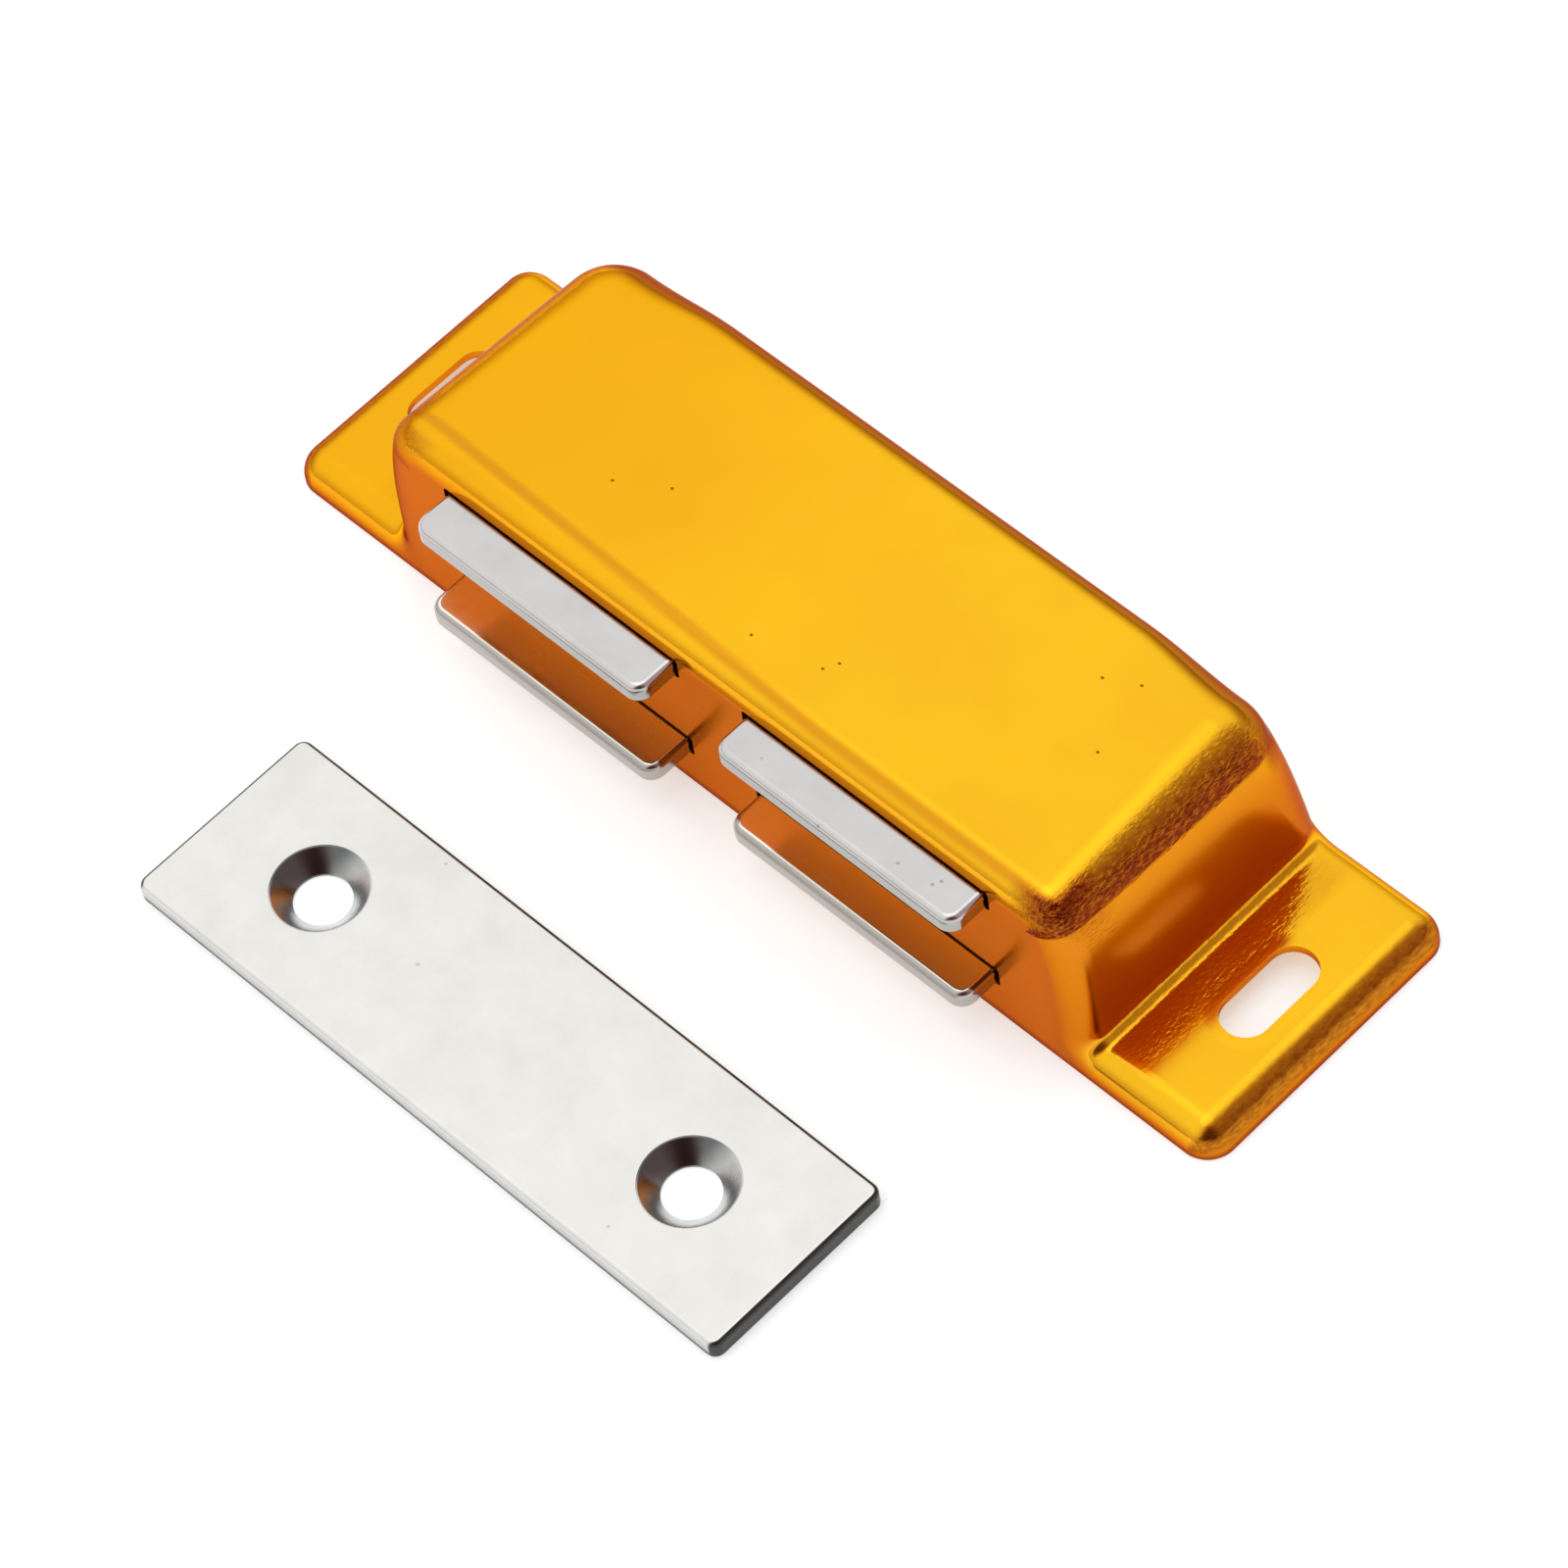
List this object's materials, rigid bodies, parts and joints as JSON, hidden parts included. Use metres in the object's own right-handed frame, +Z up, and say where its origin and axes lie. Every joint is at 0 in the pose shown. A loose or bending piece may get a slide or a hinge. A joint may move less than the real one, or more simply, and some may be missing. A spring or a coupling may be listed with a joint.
{
  "type": "magnetic catch",
  "caption": "Double magnetic catch: a gold drawn case with slotted flanges, two magnet packs with protruding pole plates, and a flat countersunk strike plate.",
  "frame": {"origin": "middle of the case on its mounting plane, half-way between the two screw slots along X", "axes": "+X along the case, -Y the way the pole plates face, +Z up from the mounting plane"},
  "size_m": [0.0952, 0.0599, 0.0181],
  "materials": {
    "gold_aluminium": "satin gold anodised",
    "plated_steel": "bright plated",
    "ferrite": "matt ceramic",
    "dark_plastic": "moulded"
  },
  "bodies": {
    "catch_case": {"case": "gold_aluminium", "magnet_holder": "dark_plastic", "base_cover": "dark_plastic", "strike_plate": "plated_steel"},
    "left_pack": {"left_upper_pole": "plated_steel", "left_lower_pole": "plated_steel", "left_magnet": "ferrite"},
    "right_pack": {"right_upper_pole": "plated_steel", "right_lower_pole": "plated_steel", "right_magnet": "ferrite"}
  },
  "joints": [
    {"name": "left_pack_float", "type": "slide", "parent": "catch_case", "child": "left_pack", "axis": [0, 1, 0], "range_m": [0, 0.0006]},
    {"name": "right_pack_float", "type": "slide", "parent": "catch_case", "child": "right_pack", "axis": [0, 1, 0], "range_m": [-0.0006, 0.0006]}
  ]
}
